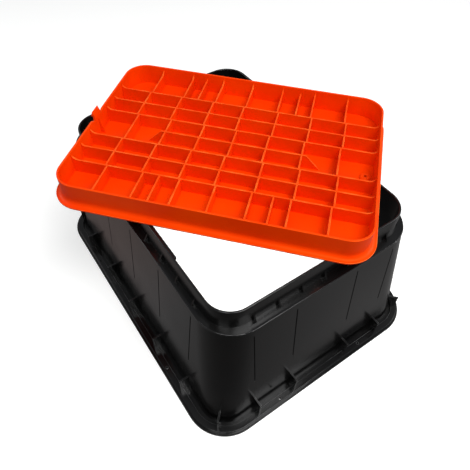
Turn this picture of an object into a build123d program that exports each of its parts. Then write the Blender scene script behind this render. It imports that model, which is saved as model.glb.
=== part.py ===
import os
from math import atan, atan2, degrees

from build123d import *

os.makedirs("parts", exist_ok=True)

# Box: neck that the lid closes
body_height = 305.0
neck_height = 38.2
neck_length = 538.0
neck_width = 386.0
neck_corner_radius = 46.0
neck_wall = 4.0
neck_draft = 2.0
neck_edge_radius = 1.8

# Box: ledge round the neck's foot
ledge_width_at_ends = 17.0
ledge_width_at_sides = 12.8
ledge_thickness = 4.0
ledge_overhang = 1.2
ledge_edge_radius = 1.4

# Box: wall, the same draft all round, its corners a little tighter at the foot
wall_thickness = 4.0
wall_draft = 26.0
wall_head_radius = 65.0
wall_foot_radius = 52.0

# Box: foot flange
flange_width_at_ends = 23.5
flange_width_at_sides = 24.0
base_corner_radius = 77.0
flange_floor = 3.5
foot_lip_width = 4.0
foot_lip_height = 3.0
rim_band_width = 12.0
rim_band_height = 10.0
rim_band_wall = 3.5
rim_edge_radius = 1.2

# Box: inner rail a little under the neck's top edge, on the long sides
rail_length = 266.0
rail_depth = 3.5
rail_height = 6.0
rail_drop = 2.0

# Box: triangular fins on the ledge
fin_thickness = 2.5
fin_depth = 7.0
fin_height = 15.0
long_fin_pitch = 50.0
short_fin_pitch = 45.7

# Box: upright gussets on the foot flange
gusset_thickness = 3.0
gusset_height = 45.0
gusset_inset = 10.0
long_gusset_pitch = 103.0
short_gusset_inner = 64.0
short_gusset_outer = 147.0

# Box: grooves down the walls, in line with the gussets
groove_width = 2.2
groove_depth = 1.4
groove_above_gusset = 62.0
groove_below_ledge = 16.8

# Box: anchor holes in the rim band
short_anchor_place = 100.0
anchor_hole_radius = 2.5
anchor_boss_radius = 5.0

# Lid: where it lies, upside down across the neck
lid_turn = 41.8
lid_shift_x = -9.1
lid_shift_y = 14.2

# Lid: plate, flange and skirt
lid_plate = 4.0
lid_flange_overhang = 10.6
lid_flange_edge = 3.0
lid_edge_radius = 1.0
lid_end_clearance = 5.5
lid_rail_clearance = 0.3
lid_corner_clearance = 1.7
lid_skirt_wall = 3.5
lid_cove_radius = 9.0
lid_rim_radius = 0.9

# Lid: grid of ribs
rib_thickness = 2.4
rib_drop = 12.8
low_rib_end_drop = 5.0
row_pitch = 37.0
first_column = 61.4
second_column = 126.0
third_column = 191.0
column_stagger = 3.2
half_column = 97.0
half_column_sweep = 3.0
centre_rib_taper_start = 8.0

# Lid: boss with the bolt hole
boss_inset = 18.0
boss_radius = 10.0
boss_height = 4.5
boss_edge = 2.5
bolt_hole_radius = 3.0

# Lid: spring tab with a barb, at the end across from the bolt
tab_width = 23.0
tab_rise = 3.1
catch_clearance = 1.5
barb_rise = 12.1
barb_reach = 3.4
tab_dip_width = 11.5
tab_dip_depth = 5.7
tab_gusset_depth = 8.0
tab_gusset_drop = 4.0

# Box sizes worked out from the ones above, from the neck outwards
ledge_height = body_height - neck_height
neck_draft_angle = degrees(atan(neck_draft / neck_height))
wall_head_length = neck_length + 2 * ledge_width_at_ends
wall_head_width = neck_width + 2 * ledge_width_at_sides
wall_foot_length = wall_head_length + 2 * wall_draft
wall_foot_width = wall_head_width + 2 * wall_draft
base_length = wall_foot_length + 2 * flange_width_at_ends
base_width = wall_foot_width + 2 * flange_width_at_sides
floor_inset = foot_lip_width + rim_band_width
groove_low = gusset_height + groove_above_gusset
groove_high = ledge_height - groove_below_ledge

# The patterns have as many copies as the straight part of their side takes
both_sides = (-1, 1)
long_gussets = int((wall_foot_length / 2 - wall_foot_radius) / long_gusset_pitch)
long_gusset_places = [long_gusset_pitch * step for step in range(-long_gussets, long_gussets + 1)]
short_gusset_places = [-short_gusset_outer, -short_gusset_inner, short_gusset_inner, short_gusset_outer]
long_fins = int((neck_length / 2 - neck_corner_radius) / long_fin_pitch)
long_fin_places = [long_fin_pitch * step for step in range(-long_fins, long_fins + 1)]
short_fins = int((neck_width / 2 - neck_corner_radius) / short_fin_pitch)
short_fin_places = [short_fin_pitch * step for step in range(-short_fins, short_fins + 1)]

# Lid sizes: its skirt fits inside the neck and the rails, and its barb catches under the ledge
lid_skirt_length = neck_length - 2 * (neck_wall + lid_end_clearance)
lid_skirt_width = neck_width - 2 * (neck_wall + rail_depth + lid_rail_clearance)
lid_skirt_radius = neck_corner_radius - neck_wall - lid_corner_clearance
lid_height = neck_height + ledge_thickness + lid_flange_edge + catch_clearance - tab_rise
boss_place = lid_skirt_length / 2 - boss_inset
rib_top = lid_height - rib_drop
rib_root = lid_plate / 2
pocket_half_length = lid_skirt_length / 2 - lid_skirt_wall
pocket_half_width = lid_skirt_width / 2 - lid_skirt_wall
wall_bite = lid_skirt_wall / 2


def base_outline(inset):
    """Outline of the foot flange, drawn in from its edge."""
    RectangleRounded(base_length - 2 * inset, base_width - 2 * inset, base_corner_radius - inset)


def wall_outline(length, width, radius, inset):
    """Outline of the wall at one height, drawn in from its outer face."""
    RectangleRounded(length - 2 * inset, width - 2 * inset, radius - inset)


def fin_corners(neck_half):
    """Corners of a triangular fin: rooted in the ledge and the neck, its slope from ledge to neck."""
    root = ledge_height - ledge_thickness / 2
    return [
        (neck_half - neck_wall / 2, root),
        (neck_half + neck_draft + fin_depth, root),
        (neck_half + neck_draft + fin_depth, ledge_height),
        (neck_half + neck_draft / 2, ledge_height + fin_height),
        (neck_half - neck_wall / 2, ledge_height + fin_height),
    ]


# The box is one moulding, open at the bottom and the top
with BuildPart() as box_body:
    # Foot flange: thin outer lip, flat floor and the raised rim band, hollow underneath
    with BuildSketch(Plane.XY):
        base_outline(0)
    extrude(amount=foot_lip_height)
    with BuildSketch(Plane.XY):
        base_outline(foot_lip_width)
    extrude(amount=rim_band_height)
    fillet(box_body.faces().sort_by(Axis.Z)[-1].edges(), rim_edge_radius)
    with BuildSketch(Plane.XY.offset(flange_floor)):
        base_outline(floor_inset)
    extrude(amount=rim_band_height, mode=Mode.SUBTRACT)
    with BuildSketch(Plane.XY):
        base_outline(foot_lip_width + rim_band_wall)
        RectangleRounded(
            base_length - 2 * (floor_inset - rim_band_wall),
            base_width - 2 * (floor_inset - rim_band_wall),
            base_corner_radius - floor_inset + rim_band_wall,
            mode=Mode.SUBTRACT,
        )
    extrude(amount=rim_band_height - rim_band_wall, mode=Mode.SUBTRACT)

    # Drafted wall, solid until the cavity is cut
    with BuildSketch(Plane.XY):
        wall_outline(wall_foot_length, wall_foot_width, wall_foot_radius, 0)
    with BuildSketch(Plane.XY.offset(ledge_height)):
        wall_outline(wall_head_length, wall_head_width, wall_head_radius, 0)
    loft(ruled=True)

    # Upright gussets between the wall and the rim band
    with BuildSketch(Plane.XY.offset(flange_floor / 2)):
        for x in long_gusset_places:
            with Locations((x, 0)):
                Rectangle(gusset_thickness, base_width - 2 * gusset_inset)
        for y in short_gusset_places:
            with Locations((0, y)):
                Rectangle(base_length - 2 * gusset_inset, gusset_thickness)
        for side_x in both_sides:
            for side_y in both_sides:
                corner = (
                    side_x * (base_length / 2 - base_corner_radius),
                    side_y * (base_width / 2 - base_corner_radius),
                )
                with Locations(Location(corner, degrees(atan2(side_y, side_x)))):
                    Rectangle(
                        base_corner_radius - gusset_inset,
                        gusset_thickness,
                        align=(Align.MIN, Align.CENTER),
                    )
    extrude(amount=gusset_height - flange_floor / 2)

    # Cavity, as high as the ledge's upper face until the ledge closes its top
    with BuildSketch(Plane.XY):
        wall_outline(wall_foot_length, wall_foot_width, wall_foot_radius, wall_thickness)
    with BuildSketch(Plane.XY.offset(ledge_height)):
        wall_outline(wall_head_length, wall_head_width, wall_head_radius, wall_thickness)
    loft(ruled=True, mode=Mode.SUBTRACT)

    # Ledge, a little proud of the wall
    with BuildSketch(Plane.XY.offset(ledge_height - ledge_thickness)):
        RectangleRounded(
            wall_head_length + 2 * ledge_overhang,
            wall_head_width + 2 * ledge_overhang,
            wall_head_radius + ledge_overhang,
        )
    extrude(amount=ledge_thickness)
    fillet(box_body.faces().sort_by(Axis.Z)[-1].edges(), ledge_edge_radius)

    # Neck, a little wider at its foot
    with BuildSketch(Plane.XY.offset(ledge_height)):
        RectangleRounded(
            neck_length + 2 * neck_draft,
            neck_width + 2 * neck_draft,
            neck_corner_radius + neck_draft,
        )
    extrude(amount=neck_height, taper=neck_draft_angle)

    # Triangular fins in the corner between the ledge and the neck
    fins = [(Plane.YZ.offset(x), neck_width / 2) for x in long_fin_places]
    fins += [(Plane.XZ.offset(y), neck_length / 2) for y in short_fin_places]
    for fin_plane, neck_half in fins:
        with BuildSketch(fin_plane):
            with BuildLine():
                Polyline(*fin_corners(neck_half), close=True)
            make_face()
            mirror(about=Plane.YZ)
    extrude(amount=fin_thickness / 2, both=True)

    # Opening through the ledge and the neck
    with BuildSketch(Plane.XY.offset(ledge_height - ledge_thickness - wall_thickness)):
        RectangleRounded(
            neck_length - 2 * neck_wall,
            neck_width - 2 * neck_wall,
            neck_corner_radius - neck_wall,
        )
    extrude(amount=body_height, mode=Mode.SUBTRACT)
    fillet(box_body.faces().sort_by(Axis.Z)[-1].edges(), neck_edge_radius)

    # Rail inside each long side
    rail_bite = neck_wall / 4
    with BuildSketch(Plane.XY.offset(body_height - rail_drop - rail_height)):
        for side in both_sides:
            with Locations((0, side * (neck_width / 2 - neck_wall + (rail_bite - rail_depth) / 2))):
                Rectangle(rail_length, rail_depth + rail_bite)
    extrude(amount=rail_height)

    # Grooves down the outside of the walls, in line with the gussets
    groove_middle = (groove_low + groove_high) / 2
    wall_out = wall_draft * (1 - groove_middle / ledge_height)
    for side in both_sides:
        for x in long_gusset_places:
            long_side = Plane(
                origin=(x, side * (wall_head_width / 2 + wall_out), groove_middle),
                x_dir=(1, 0, 0),
                z_dir=(0, side * ledge_height, wall_draft),
            )
            with BuildSketch(long_side):
                Rectangle(groove_width, groove_high - groove_low)
        for y in short_gusset_places:
            short_side = Plane(
                origin=(side * (wall_head_length / 2 + wall_out), y, groove_middle),
                x_dir=(0, 1, 0),
                z_dir=(side * ledge_height, 0, wall_draft),
            )
            with BuildSketch(short_side):
                Rectangle(groove_width, groove_high - groove_low)
    extrude(amount=-groove_depth, mode=Mode.SUBTRACT)

    # Anchor holes through bosses in the rim band, half-way between gussets
    anchor_inset = foot_lip_width + rim_band_width / 2
    long_anchor_x = long_gusset_pitch * (long_gussets - 0.5)
    anchor_places = []
    for side_x in both_sides:
        for side_y in both_sides:
            anchor_places.append((side_x * long_anchor_x, side_y * (base_width / 2 - anchor_inset)))
            anchor_places.append((side_x * (base_length / 2 - anchor_inset), side_y * short_anchor_place))
    with BuildSketch(Plane.XY):
        with Locations(*anchor_places):
            Circle(anchor_boss_radius)
    extrude(amount=rim_band_height - rim_band_wall / 2)
    with BuildSketch(Plane.XY):
        with Locations(*anchor_places):
            Circle(anchor_hole_radius)
    extrude(amount=rim_band_height, mode=Mode.SUBTRACT)

box_body.part.label = "box_body"
export_step(box_body.part, "parts/box_body.step")


# The lid lies with its outer face on the neck and its ribs up
lid_plane = Plane(
    origin=(lid_shift_x, lid_shift_y, body_height),
    x_dir=Vector(1, 0, 0).rotate(Axis.Z, lid_turn),
    z_dir=(0, 0, 1),
)


def across(x):
    """Upright plane over the lid's width at a place along its length."""
    return Plane(
        origin=lid_plane.from_local_coords(Vector(x, 0, 0)),
        x_dir=lid_plane.y_dir,
        z_dir=lid_plane.x_dir,
    )


def lengthwise(y):
    """Upright plane along the lid's length at a place over its width."""
    return Plane(
        origin=lid_plane.from_local_coords(Vector(0, y, 0)),
        x_dir=lid_plane.x_dir,
        z_dir=-lid_plane.y_dir,
    )


with BuildPart() as lid:
    # Plate, flange and skirt, with a cove where the skirt stands on the flange
    with BuildSketch(lid_plane):
        RectangleRounded(
            lid_skirt_length + 2 * lid_flange_overhang,
            lid_skirt_width + 2 * lid_flange_overhang,
            lid_skirt_radius + lid_flange_overhang,
        )
    extrude(amount=lid_flange_edge)
    fillet(lid.faces().sort_by(Axis.Z)[0].edges(), lid_edge_radius)
    with BuildSketch(lid_plane):
        RectangleRounded(lid_skirt_length, lid_skirt_width, lid_skirt_radius)
    extrude(amount=lid_height)
    cove_edges = lid.faces().filter_by(Axis.Z).sort_by(Axis.Z)[1].inner_wires()[0].edges()
    fillet(cove_edges, lid_cove_radius)
    with BuildSketch(lid_plane.offset(lid_plate)):
        RectangleRounded(2 * pocket_half_length, 2 * pocket_half_width, lid_skirt_radius - lid_skirt_wall)
    extrude(amount=lid_height, mode=Mode.SUBTRACT)
    fillet(lid.faces().sort_by(Axis.Z)[-1].edges(), lid_rim_radius)

    # Ribs that end at the skirt: each is a plane, its start, the skirt there and how high its end sweeps
    full_end = lid_height - lid_rim_radius
    columns = [side * place for side in both_sides for place in (first_column, second_column, third_column)]
    swept_ribs = [(lengthwise(row * row_pitch), 0, pocket_half_length, full_end) for row in (-3, -1, 1, 3)]
    swept_ribs += [
        (lengthwise(row * row_pitch), 0, pocket_half_length, lid_height - low_rib_end_drop) for row in (-2, 2)
    ]
    swept_ribs += [(across(x), 3 * row_pitch, pocket_half_width, full_end) for x in (0, *columns)]
    swept_ribs += [
        (across(side * half_column), 3 * row_pitch, pocket_half_width, rib_top + half_column_sweep)
        for side in both_sides
    ]
    for rib_plane, start, wall, end_top in swept_ribs:
        sweep = end_top - rib_top
        with BuildSketch(rib_plane):
            with BuildLine():
                Polyline(
                    (wall - sweep, rib_top),
                    (start, rib_top),
                    (start, rib_root),
                    (wall + wall_bite, rib_root),
                    (wall + wall_bite, end_top),
                    (wall, end_top),
                )
                CenterArc((wall - sweep, end_top), sweep, 270, 90)
            make_face()
            mirror(about=Plane.YZ)

    # Centre rib, tapering down to the plate outside the second columns
    with BuildSketch(lengthwise(0)):
        with BuildLine():
            taper_start = second_column + centre_rib_taper_start
            Polyline(
                (0, rib_root),
                (0, rib_top),
                (taper_start, rib_top),
                (taper_start + rib_top - lid_plate, lid_plate),
                (taper_start + rib_top - lid_plate, rib_root),
                close=True,
            )
        make_face()
        mirror(about=Plane.YZ)

    # Ribs across the two middle rows stand in line with the swept ones
    rib_middle = (rib_root + rib_top) / 2
    for x in (0, *columns):
        with BuildSketch(across(x)):
            with Locations((0, rib_middle)):
                Rectangle(2 * row_pitch, rib_top - rib_root)

    # In the rows between, they stand a little further out
    staggered = [x + column_stagger if x > 0 else x - column_stagger for x in (0, *columns)]
    for x in staggered:
        with BuildSketch(across(x)):
            with Locations((2 * row_pitch, rib_middle), (-2 * row_pitch, rib_middle)):
                Rectangle(2 * row_pitch, rib_top - rib_root)
    extrude(amount=rib_thickness / 2, both=True)

    # Boss with the bolt hole
    with BuildSketch(lid_plane):
        with Locations((boss_place, 0)):
            Circle(boss_radius)
    extrude(amount=lid_plate + boss_height)
    boss_top = lid.faces().filter_by(Axis.Z).sort_by_distance(
        lid_plane.from_local_coords(Vector(boss_place, 0, lid_plate + boss_height))
    )[0]
    chamfer(boss_top.edges(), boss_edge)
    with BuildSketch(lid_plane):
        with Locations((boss_place, 0)):
            Circle(bolt_hole_radius)
    extrude(amount=lid_height, mode=Mode.SUBTRACT)

    # Spring tab: the skirt dips on both sides of a strap that ends in a barb
    skirt_face = -lid_skirt_length / 2
    strap_inside = skirt_face + lid_skirt_wall
    with BuildSketch(across(skirt_face)):
        with BuildLine():
            Polyline(
                (0, lid_height + tab_dip_depth),
                (tab_width / 2 + tab_dip_width, lid_height + tab_dip_depth),
                (tab_width / 2 + tab_dip_width, lid_height),
                (tab_width / 2, lid_height - tab_dip_depth),
                (0, lid_height - tab_dip_depth),
                close=True,
            )
        make_face()
        mirror(about=Plane.YZ)
    extrude(amount=lid_skirt_wall, both=True, mode=Mode.SUBTRACT)
    with BuildSketch(lengthwise(0)):
        with BuildLine():
            Polyline(
                (skirt_face, rib_top),
                (skirt_face, lid_height + tab_rise),
                (skirt_face - barb_reach, lid_height + tab_rise),
                (skirt_face, lid_height + barb_rise),
                (strap_inside, lid_height + tab_rise),
                (strap_inside, rib_top),
                close=True,
            )
        make_face()
    extrude(amount=tab_width / 2, both=True)
    with BuildSketch(lengthwise(0)):
        with BuildLine():
            Polyline(
                (strap_inside - wall_bite, rib_root),
                (strap_inside - wall_bite, lid_height - tab_gusset_drop),
                (strap_inside, lid_height - tab_gusset_drop),
                (strap_inside + tab_gusset_depth, lid_plate),
                (strap_inside + tab_gusset_depth, rib_root),
                close=True,
            )
        make_face()
    extrude(amount=rib_thickness / 2, both=True)

lid.part.label = "lid"
export_step(lid.part, "parts/lid.step")
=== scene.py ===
from math import cos, radians, sin

import bmesh
import bpy
from mathutils import Matrix, Vector


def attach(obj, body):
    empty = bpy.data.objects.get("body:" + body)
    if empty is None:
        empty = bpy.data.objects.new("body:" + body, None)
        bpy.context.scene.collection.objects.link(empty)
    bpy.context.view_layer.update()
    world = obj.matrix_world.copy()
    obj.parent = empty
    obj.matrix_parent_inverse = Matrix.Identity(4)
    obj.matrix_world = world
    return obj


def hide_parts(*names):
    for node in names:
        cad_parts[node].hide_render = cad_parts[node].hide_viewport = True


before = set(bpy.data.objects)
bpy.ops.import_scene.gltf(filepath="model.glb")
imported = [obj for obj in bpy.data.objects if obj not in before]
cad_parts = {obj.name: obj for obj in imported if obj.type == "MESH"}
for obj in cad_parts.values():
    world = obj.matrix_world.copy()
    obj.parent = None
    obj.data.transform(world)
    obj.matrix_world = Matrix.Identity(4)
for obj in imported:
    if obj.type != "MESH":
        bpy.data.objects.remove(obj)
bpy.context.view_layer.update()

scene = bpy.context.scene

# Camera. The photograph looks down on the box's near corner from half-way between its long and
# short sides, from a little over a metre away, with the picture turned by a degree and a half.
camera_azimuth = radians(54.24)
camera_elevation = radians(50.73)
camera_roll = radians(1.61)
camera_place = Vector((0.5235, -0.3571, 0.8699))
camera_lens = 35.23

camera_back = Vector((
    sin(camera_azimuth) * cos(camera_elevation),
    -cos(camera_azimuth) * cos(camera_elevation),
    sin(camera_elevation),
))
level_right = Vector((cos(camera_azimuth), sin(camera_azimuth), 0))
level_up = camera_back.cross(level_right)
camera_right = level_right * cos(camera_roll) + level_up * sin(camera_roll)
camera_up = camera_back.cross(camera_right)
camera = bpy.data.objects.new("camera", bpy.data.cameras.new("camera"))
camera.data.lens = camera_lens
camera.matrix_world = (
    Matrix.Translation(camera_place)
    @ Matrix((camera_right, camera_up, camera_back)).transposed().to_4x4()
)
scene.collection.objects.link(camera)
scene.camera = camera
scene.view_settings.view_transform = "Standard"

# Studio floor. Plain and pale where it is seen. To the light that reaches the plastic from below it is a
# glowing mid-grey ground with painted shade, darker inside the box and at its near corner, and a painted
# warm glow at its far end.
floor_half = 6.0
floor_colour = (0.80, 0.80, 0.79, 1.0)
floor_roughness = 0.9
floor_gloss = 0.1
floor_glow = 0.45
ground_colour = (1.0, 0.98, 0.98, 1.0)
painted_warm_glow_colour = (1.0, 0.80, 0.76, 1.0)
warm_start, warm_end = 0.10, -0.25
dark_corner = (0.42, -0.34, 0.0)
dark_reach = 0.60
corner_shade, open_shade = 0.07, 0.24
chamber_half = {"X": 0.30, "Y": 0.22}
chamber_blur = 0.05
chamber_shade = 0.25


def finish_range(tree, value, low, high, out_low=0.0, out_high=1.0, easing="LINEAR"):
    """A value of a finish's pattern, moved from one range to another and held inside it."""
    move = tree.nodes.new("ShaderNodeMapRange")
    move.interpolation_type = easing
    for socket, number in zip(("From Min", "From Max", "To Min", "To Max"), (low, high, out_low, out_high)):
        move.inputs[socket].default_value = number
    tree.links.new(value, move.inputs["Value"])
    return move.outputs["Result"]


def finish_math(tree, operation, first, second):
    """Two values of a finish's pattern, put together: their product, or the larger of the two."""
    node = tree.nodes.new("ShaderNodeMath")
    node.operation = operation
    tree.links.new(first, node.inputs[0])
    tree.links.new(second, node.inputs[1])
    return node.outputs["Value"]


def finish_sides(tree, vector):
    """The X, Y and Z of a vector."""
    split = tree.nodes.new("ShaderNodeSeparateXYZ")
    tree.links.new(vector, split.inputs["Vector"])
    return split.outputs


floor_mesh = bpy.data.meshes.new("studio_floor")
floor_mesh.from_pydata(
    [(x * floor_half, y * floor_half, 0) for x, y in ((-1, -1), (1, -1), (1, 1), (-1, 1))],
    [],
    [(0, 1, 2, 3)],
)
studio_floor = bpy.data.objects.new("studio_floor", floor_mesh)
scene.collection.objects.link(studio_floor)
floor_finish = bpy.data.materials.new("pale_floor")
floor_finish.use_nodes = True
floor_tree = floor_finish.node_tree
floor_nodes, floor_links = floor_tree.nodes, floor_tree.links
pale = floor_nodes["Principled BSDF"]
pale.inputs["Base Color"].default_value = floor_colour
pale.inputs["Roughness"].default_value = floor_roughness
pale.inputs["Specular IOR Level"].default_value = floor_gloss
pale.inputs["Emission Color"].default_value = floor_colour
pale.inputs["Emission Strength"].default_value = floor_glow
floor_place = floor_nodes.new("ShaderNodeTexCoord").outputs["Object"]

# Painted shade on the glowing ground: darker near the box's near corner and inside its opening.
corner_distance = floor_nodes.new("ShaderNodeVectorMath")
corner_distance.operation = "DISTANCE"
corner_distance.inputs[1].default_value = dark_corner
floor_links.new(floor_place, corner_distance.inputs[0])
shade = finish_range(
    floor_tree, corner_distance.outputs["Value"], 0.0, dark_reach, corner_shade, open_shade, "SMOOTHSTEP",
)
folded = floor_nodes.new("ShaderNodeVectorMath")
folded.operation = "ABSOLUTE"
floor_links.new(floor_place, folded.inputs[0])
folded_sides = finish_sides(floor_tree, folded.outputs["Vector"])
outside_chamber = finish_math(floor_tree, "MAXIMUM", *(
    finish_range(floor_tree, folded_sides[side], half, half + chamber_blur, chamber_shade, 1.0, "SMOOTHSTEP")
    for side, half in chamber_half.items()
))
# A painted warm glow on that ground, towards the box's far end.
ground_tint = floor_nodes.new("ShaderNodeMix")
ground_tint.data_type = "RGBA"
ground_tint.inputs["A"].default_value = painted_warm_glow_colour
ground_tint.inputs["B"].default_value = ground_colour
along_box = finish_sides(floor_tree, floor_place)["X"]
floor_links.new(
    finish_range(floor_tree, along_box, warm_end, warm_start, easing="SMOOTHSTEP"),
    ground_tint.inputs["Factor"],
)
# The ground glows, though it is no lamp. The plastic mirrors and catches this glow with its painted shade and
# warm tint, while the camera sees the pale floor.
ground_glow = floor_nodes.new("ShaderNodeEmission")
floor_links.new(ground_tint.outputs["Result"], ground_glow.inputs["Color"])
floor_links.new(finish_math(floor_tree, "MULTIPLY", outside_chamber, shade), ground_glow.inputs["Strength"])
floor_mix = floor_nodes.new("ShaderNodeMixShader")
floor_links.new(floor_nodes.new("ShaderNodeLightPath").outputs["Is Camera Ray"], floor_mix.inputs["Fac"])
floor_links.new(ground_glow.outputs["Emission"], floor_mix.inputs[1])
floor_links.new(pale.outputs["BSDF"], floor_mix.inputs[2])
floor_links.new(floor_mix.outputs["Shader"], floor_nodes["Material Output"].inputs["Surface"])
floor_mesh.materials.append(floor_finish)

# Studio light. A soft sky that looks paler than it shines, a broad lamp high up on the right, and weaker
# ones at the sides and over the near corner, where the black edges catch them in thin bright lines. The
# last lamp hangs inside the box, over the floor in its opening.
sky_colour = (0.90, 0.92, 0.96, 1.0)
sky_strength = 0.34
seen_sky_colour = (0.93, 0.93, 0.93, 1.0)
seen_sky_strength = 1.0
box_middle = (0, 0, 0.2)
near_corner = (0.15, -0.1, 0.2)
box_opening = (0, 0, 0)

scene.world = bpy.data.worlds.new("studio")
scene.world.use_nodes = True
world_nodes, world_links = scene.world.node_tree.nodes, scene.world.node_tree.links
sky = world_nodes["Background"]
sky.inputs["Color"].default_value = sky_colour
sky.inputs["Strength"].default_value = sky_strength
seen_sky = world_nodes.new("ShaderNodeBackground")
seen_sky.inputs["Color"].default_value = seen_sky_colour
seen_sky.inputs["Strength"].default_value = seen_sky_strength
sky_mix = world_nodes.new("ShaderNodeMixShader")
world_links.new(world_nodes.new("ShaderNodeLightPath").outputs["Is Camera Ray"], sky_mix.inputs["Fac"])
world_links.new(sky.outputs["Background"], sky_mix.inputs[1])
world_links.new(seen_sky.outputs["Background"], sky_mix.inputs[2])
world_links.new(sky_mix.outputs["Shader"], world_nodes["World Output"].inputs["Surface"])


def soft_light(name, place, aim, width, power):
    """A square area light at a place, turned towards a point. The width is in metres, the power in watts."""
    lamp = bpy.data.objects.new(name, bpy.data.lights.new(name, "AREA"))
    lamp.data.size = width
    lamp.data.energy = power
    lamp.location = place
    lamp.rotation_euler = (Vector(aim) - Vector(place)).to_track_quat("-Z", "Y").to_euler()
    scene.collection.objects.link(lamp)


soft_light("overhead_light", place=(1.0, 0.22, 2.1), aim=box_middle, width=1.1, power=38)
soft_light("left_light", place=(-1.5, -1.45, 1.25), aim=box_middle, width=0.9, power=10)
soft_light("right_light", place=(0.9, 1.7, 1.3), aim=box_middle, width=0.9, power=14)
soft_light("corner_light", place=(0.72, -0.86, 1.85), aim=near_corner, width=0.6, power=9)
soft_light("chamber_light", place=(0, 0, 0.24), aim=box_opening, width=0.34, power=1.5)

# Box. One injection moulding in black polypropylene, open at the top and the bottom: a drafted wall
# on a foot flange with upright gussets, and a ledged neck. Its skin is satin, smooth enough to mirror
# the gussets in the wall's foot, and its upward edges carry a painted highlight, a paler colour.
weld_distance = 0.000001
sharp_angle = radians(28)


def moulding(node):
    """A merged copy of a node's mesh, shaded smooth except at the edges that are sharp."""
    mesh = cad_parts[node].data.copy()
    shape = bmesh.new()
    shape.from_mesh(mesh)
    bmesh.ops.remove_doubles(shape, verts=shape.verts, dist=weld_distance)
    for face in shape.faces:
        face.smooth = True
    for edge in shape.edges:
        edge.smooth = len(edge.link_faces) == 2 and edge.calc_face_angle() < sharp_angle
    shape.to_mesh(mesh)
    shape.free()
    piece = bpy.data.objects.new(node + "_moulding", mesh)
    scene.collection.objects.link(piece)
    mesh.materials.clear()
    return piece


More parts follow.
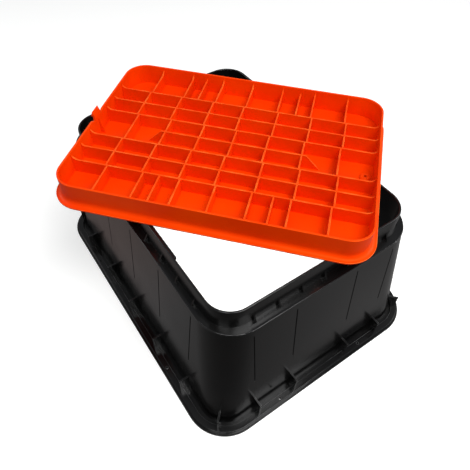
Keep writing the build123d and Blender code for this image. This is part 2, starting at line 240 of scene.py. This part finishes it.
def plastic(
    name, light, dark, patch_scale, gloss, tint, roughness, rough_spread, edge_highlight_colour, edge_highlight_amount, edge_highlight_reach,
    grain_depth, edge_radius,
):
    """Moulded plastic: two shades mixed by soft patches, cloudy gloss, painted edge highlights and a fine
    grain.

    An edge is where rays sent into the plastic soon come out again. Those that face up get a painted
    highlight, a paler colour, and noise breaks the highlight up.
    """
    upward_start, upward_full = 0.4, 0.7
    edge_start, edge_full, edge_samples = 0.95, 0.55, 8
    breakup_scale, breakup_detail, breakup_low, breakup_high, least_breakup = 45, 5, 0.42, 0.62, 0.3
    patch_detail, patch_low, patch_high = 4, 0.35, 0.65
    cloud_scale, cloud_detail, cloud_swirl, cloud_low, cloud_high = 14, 5, 0.4, 0.3, 0.7
    wave_scale, wave_detail, wave_depth, wave_strength = 9, 2, 0.0012, 0.08
    grain_scale, grain_detail, grain_strength = 700, 2, 0.3
    rounding_samples = 4

    finish = bpy.data.materials.new(name)
    finish.use_nodes = True
    tree = finish.node_tree
    nodes, links = tree.nodes, tree.links
    shader = nodes["Principled BSDF"]
    shader.inputs["Specular IOR Level"].default_value = gloss
    shader.inputs["Specular Tint"].default_value = (*tint, 1)
    place = nodes.new("ShaderNodeTexCoord").outputs["Object"]

    def noise(scale, detail, swirl=0.0):
        """Cloudy noise over the piece."""
        pattern = nodes.new("ShaderNodeTexNoise")
        pattern.inputs["Scale"].default_value = scale
        pattern.inputs["Detail"].default_value = detail
        pattern.inputs["Distortion"].default_value = swirl
        links.new(place, pattern.inputs["Vector"])
        return pattern.outputs["Fac"]

    def shades(factor, first, second):
        """Two shades, mixed by a factor. Each is a plain colour or another mix."""
        mix = nodes.new("ShaderNodeMix")
        mix.data_type = "RGBA"
        for socket, colour in (("A", first), ("B", second)):
            if isinstance(colour, tuple):
                mix.inputs[socket].default_value = (*colour, 1)
            else:
                links.new(colour, mix.inputs[socket])
        links.new(factor, mix.inputs["Factor"])
        return mix.outputs["Result"]

    def relief(height, depth, strength, normal):
        """The surface's normal, tipped by a pattern of heights."""
        bump = nodes.new("ShaderNodeBump")
        bump.inputs["Distance"].default_value = depth
        bump.inputs["Strength"].default_value = strength
        links.new(height, bump.inputs["Height"])
        links.new(normal, bump.inputs["Normal"])
        return bump.outputs["Normal"]

    facing = finish_sides(tree, nodes.new("ShaderNodeNewGeometry").outputs["Normal"])
    inside = nodes.new("ShaderNodeAmbientOcclusion")
    inside.inside = True
    inside.only_local = True
    inside.samples = edge_samples
    inside.inputs["Distance"].default_value = edge_highlight_reach
    # A painted highlight: a paler colour along the edges that face up, broken up by noise.
    upward = finish_range(tree, facing["Z"], upward_start, upward_full)
    on_edge = finish_range(tree, inside.outputs["AO"], edge_start, edge_full, 0.0, edge_highlight_amount)
    highlight_breakup = finish_range(tree, noise(breakup_scale, breakup_detail), breakup_low, breakup_high, least_breakup, 1.0)
    painted_highlight_places = finish_math(tree, "MULTIPLY", finish_math(tree, "MULTIPLY", upward, on_edge), highlight_breakup)

    patches = finish_range(tree, noise(patch_scale, patch_detail), patch_low, patch_high)
    # The painted edge highlight is laid over the two shades.
    links.new(shades(painted_highlight_places, shades(patches, dark, light), edge_highlight_colour), shader.inputs["Base Color"])
    clouds = noise(cloud_scale, cloud_detail, cloud_swirl)
    links.new(
        finish_range(tree, clouds, cloud_low, cloud_high, roughness - rough_spread, roughness + rough_spread),
        shader.inputs["Roughness"],
    )

    rounded = nodes.new("ShaderNodeBevel")
    rounded.samples = rounding_samples
    rounded.inputs["Radius"].default_value = edge_radius
    waves = relief(noise(wave_scale, wave_detail), wave_depth, wave_strength, rounded.outputs["Normal"])
    grain = relief(noise(grain_scale, grain_detail), grain_depth, grain_strength, waves)
    links.new(grain, shader.inputs["Normal"])
    return finish


box = moulding("box_body")
box.data.materials.append(plastic(
    "moulded_black",
    light=(0.0045, 0.0042, 0.0040), dark=(0.0025, 0.0025, 0.0026), patch_scale=7,
    gloss=0.40, tint=(1.0, 1.0, 1.0), roughness=0.17, rough_spread=0.04,
    # A painted highlight, a paler grey, along the box's upward edges.
    edge_highlight_colour=(0.12, 0.12, 0.12), edge_highlight_amount=0.8, edge_highlight_reach=0.0010,
    grain_depth=0.00003, edge_radius=0.0003,
))
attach(box, "root")
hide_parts("box_body")

# Lid. One injection moulding in orange polypropylene, lying upside down across the neck: a flat plate
# with an overhanging flange, and a skirt round a grid of thin ribs, a bolt boss and a spring tab.
# Light that bounces between the ribs turns the cells a deeper red.
lid = moulding("lid")
lid.data.materials.append(plastic(
    "moulded_orange",
    light=(0.82, 0.048, 0.0), dark=(0.77, 0.034, 0.0), patch_scale=10,
    gloss=0.30, tint=(1.0, 0.35, 0.06), roughness=0.42, rough_spread=0.05,
    # A painted highlight, a paler orange, along the lid's upward edges.
    edge_highlight_colour=(1.0, 0.30, 0.05), edge_highlight_amount=0.9, edge_highlight_reach=0.0010,
    grain_depth=0.00004, edge_radius=0.0006,
))
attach(lid, "root")
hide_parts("lid")
